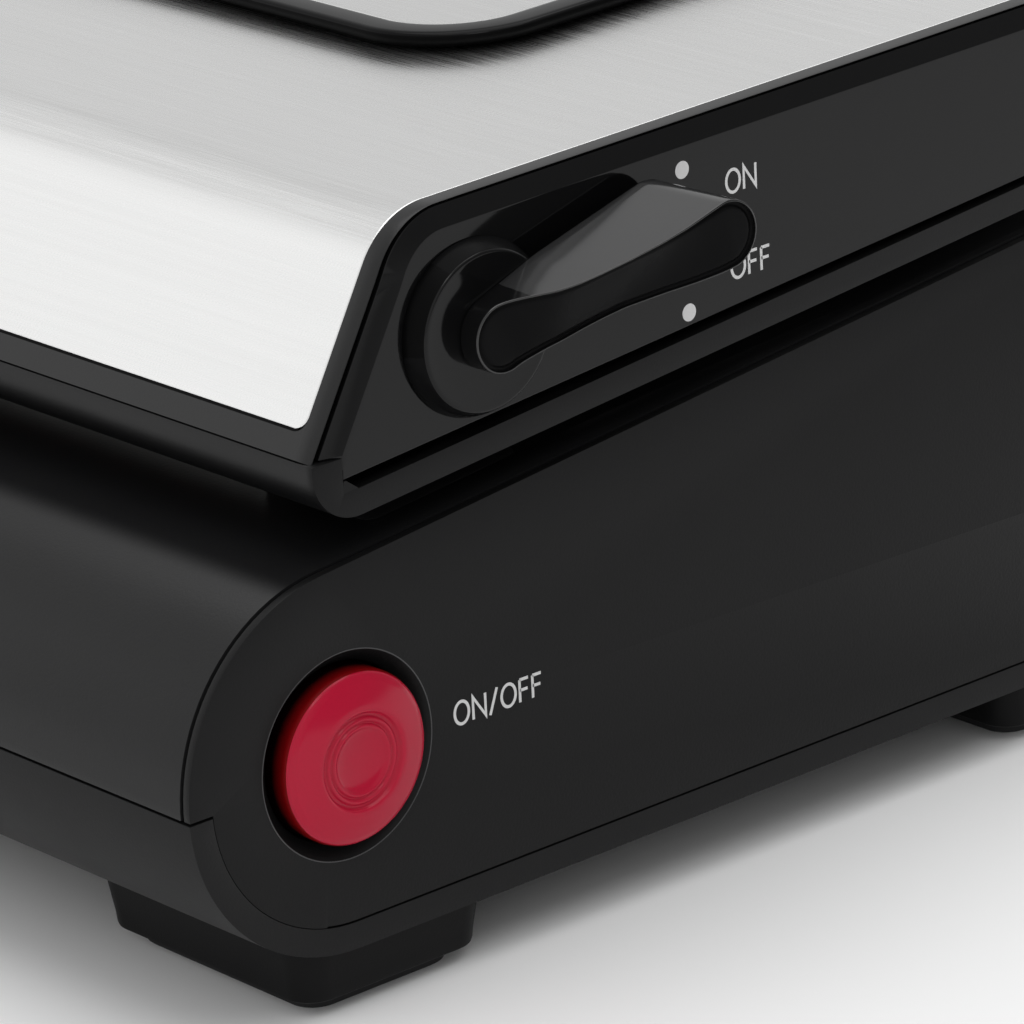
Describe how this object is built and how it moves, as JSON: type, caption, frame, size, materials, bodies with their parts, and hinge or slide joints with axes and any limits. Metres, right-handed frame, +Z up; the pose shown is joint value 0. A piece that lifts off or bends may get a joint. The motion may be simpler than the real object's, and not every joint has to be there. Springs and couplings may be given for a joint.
{
  "type": "vacuum sealer",
  "caption": "Countertop vacuum sealer with a hinged steel-topped lid, rotary latch lever on one end, push start button and a weighing platform.",
  "frame": {"origin": "under the middle of the overall envelope, on the surface it stands on", "axes": "+Z up, -Y towards the user, +X towards the end with the lever and the start button, along the length"},
  "size_m": [0.4176, 0.186, 0.1109],
  "materials": {
    "base_plastic": "satin moulded black with a fine grain",
    "end_cap_plastic": "satin moulded black",
    "foot_plastic": "matte moulded black",
    "pad_rubber": "dark grey rubber",
    "gasket_foam": "closed cell foam",
    "tray_plastic": "smooth grey",
    "seal_bar_metal": "extruded bar",
    "heater_alloy": "flat resistance wire",
    "tape": "woven non-stick tape",
    "pump_plastic": "moulded grey",
    "zinc_steel": "zinc plated",
    "nylon": "natural nylon",
    "hose_silicone": "translucent silicone",
    "transformer_iron": "laminated core",
    "circuit_board": "green solder mask",
    "port_plastic": "moulded black",
    "red_gloss": "glossy deep red",
    "spring_steel": "bright wire",
    "screw_steel": "zinc plated",
    "lid_plastic": "satin moulded black",
    "panel_gloss": "glossy black panel",
    "brushed_sheet": "long grain brushed sheet",
    "strip_silicone": "red-brown silicone",
    "window_glass": "smoked window",
    "cell_aluminium": "machined",
    "lever_gloss": "glossy black",
    "platform_gloss": "glossy black rim",
    "platform_steel": "brushed inlay",
    "key_plastic": "soft touch grey"
  },
  "bodies": {
    "base": {"base_lower_housing": "base_plastic", "base_upper_housing": "base_plastic", "base_right_end_cap": "end_cap_plastic", "base_left_end_cap": "end_cap_plastic", "foot_blocks": "foot_plastic", "foot_pads": "pad_rubber", "lower_gasket": "gasket_foam", "drip_tray": "tray_plastic", "seal_bar": "seal_bar_metal", "heating_wire": "heater_alloy", "release_tape": "tape", "vacuum_pump": "pump_plastic", "pump_motor": "zinc_steel", "vacuum_hose": "hose_silicone", "transformer": "transformer_iron", "main_circuit_board": "circuit_board", "power_inlet": "foot_plastic", "accessory_hose_port": "port_plastic", "latch_keepers": "zinc_steel", "hinge_brackets": "zinc_steel", "hinge_pins": "zinc_steel", "button_spring": "spring_steel", "start_switch": "circuit_board", "base_screws": "screw_steel"},
    "button": {"start_button": "red_gloss"},
    "crank": {"pump_crank": "nylon"},
    "lid": {"lid_lower_frame": "lid_plastic", "lid_cover_frame": "lid_plastic", "lid_right_end_panel": "panel_gloss", "lid_left_end_panel": "panel_gloss", "steel_top_plate": "brushed_sheet", "upper_gasket": "gasket_foam", "sealing_strip": "strip_silicone", "display_window": "window_glass", "display_board": "circuit_board", "load_cell": "cell_aluminium", "shaft_bushes": "nylon", "lid_screws": "screw_steel"},
    "latch": {"lever": "lever_gloss", "latch_shaft": "zinc_steel", "latch_hooks": "nylon"},
    "platform": {"scale_platform": "platform_gloss", "platform_plate": "platform_steel"},
    "power_key": {"power_key": "key_plastic"},
    "tare_key": {"tare_key": "key_plastic"},
    "unit_key": {"unit_key": "key_plastic"}
  },
  "joints": [
    {"name": "lid_hinge", "type": "hinge", "parent": "base", "child": "lid", "pos_m": [-0.00885, 0.08, 0.09425], "axis": [-1, 0, 0], "range_deg": [0, 75]},
    {"name": "lever_turn", "type": "hinge", "parent": "lid", "child": "latch", "pos_m": [0.19115, -0.0426, 0.0872], "axis": [1, 0, 0], "range_deg": [-29.4, 0]},
    {"name": "start_press", "type": "slide", "parent": "base", "child": "button", "axis": [-1, 0, 0], "range_m": [0, 0.002], "stiffness_N_per_m": 900, "springref_m": -0.0012, "deforming": ["button_spring"]},
    {"name": "pump_spin", "type": "hinge", "parent": "base", "child": "crank", "pos_m": [0.12115, 0.035, 0.036], "axis": [1, 0, 0], "continuous": true},
    {"name": "platform_press", "type": "slide", "parent": "lid", "child": "platform", "axis": [0, 0, -1], "range_m": [0, 0.0002], "stiffness_N_per_m": 60000, "springref_m": -0.0001},
    {"name": "power_key_press", "type": "slide", "parent": "lid", "child": "power_key", "axis": [0, 0.0287, -0.9996], "range_m": [0, 0.0006], "stiffness_N_per_m": 900, "springref_m": -0.0005},
    {"name": "tare_key_press", "type": "slide", "parent": "lid", "child": "tare_key", "axis": [0, 0.0287, -0.9996], "range_m": [0, 0.0006], "stiffness_N_per_m": 900, "springref_m": -0.0005},
    {"name": "unit_key_press", "type": "slide", "parent": "lid", "child": "unit_key", "axis": [0, 0.0287, -0.9996], "range_m": [0, 0.0006], "stiffness_N_per_m": 900, "springref_m": -0.0005}
  ]
}
